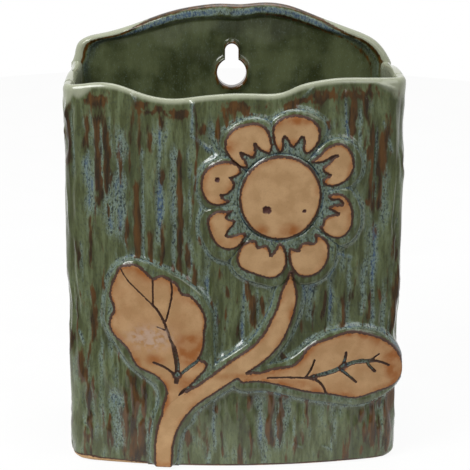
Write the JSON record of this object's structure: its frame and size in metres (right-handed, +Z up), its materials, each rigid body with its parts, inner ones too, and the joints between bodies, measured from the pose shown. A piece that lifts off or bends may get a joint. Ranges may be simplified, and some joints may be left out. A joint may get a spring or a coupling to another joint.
{
  "type": "hanging wall vase",
  "caption": "Flat-backed ceramic pocket with a bowed front, an arched back with a keyhole to hang it by, and an applied flower with a stem and leaves.",
  "frame": {"origin": "centre of the keyhole's round hole, on the back face that lies against the wall", "axes": "+Y into the wall, +Z up, +X to the right of someone facing the flower"},
  "size_m": [0.1669, 0.0894, 0.2207],
  "materials": {
    "glazed_stoneware": "glossy olive green glaze, brown on the edges",
    "bare_clay": "matt bare stoneware face with glazed flanks"
  },
  "bodies": {
    "root": {"back_slab": "glazed_stoneware", "front_slab": "glazed_stoneware", "left_side_slab": "glazed_stoneware", "right_side_slab": "glazed_stoneware", "base_slab": "glazed_stoneware", "flower_centre": "bare_clay", "petal_1": "bare_clay", "petal_2": "bare_clay", "petal_3": "bare_clay", "petal_4": "bare_clay", "petal_5": "bare_clay", "petal_6": "bare_clay", "petal_7": "bare_clay", "petal_8": "bare_clay", "stem": "bare_clay", "left_leaf": "bare_clay", "right_leaf": "bare_clay"}
  },
  "joints": []
}
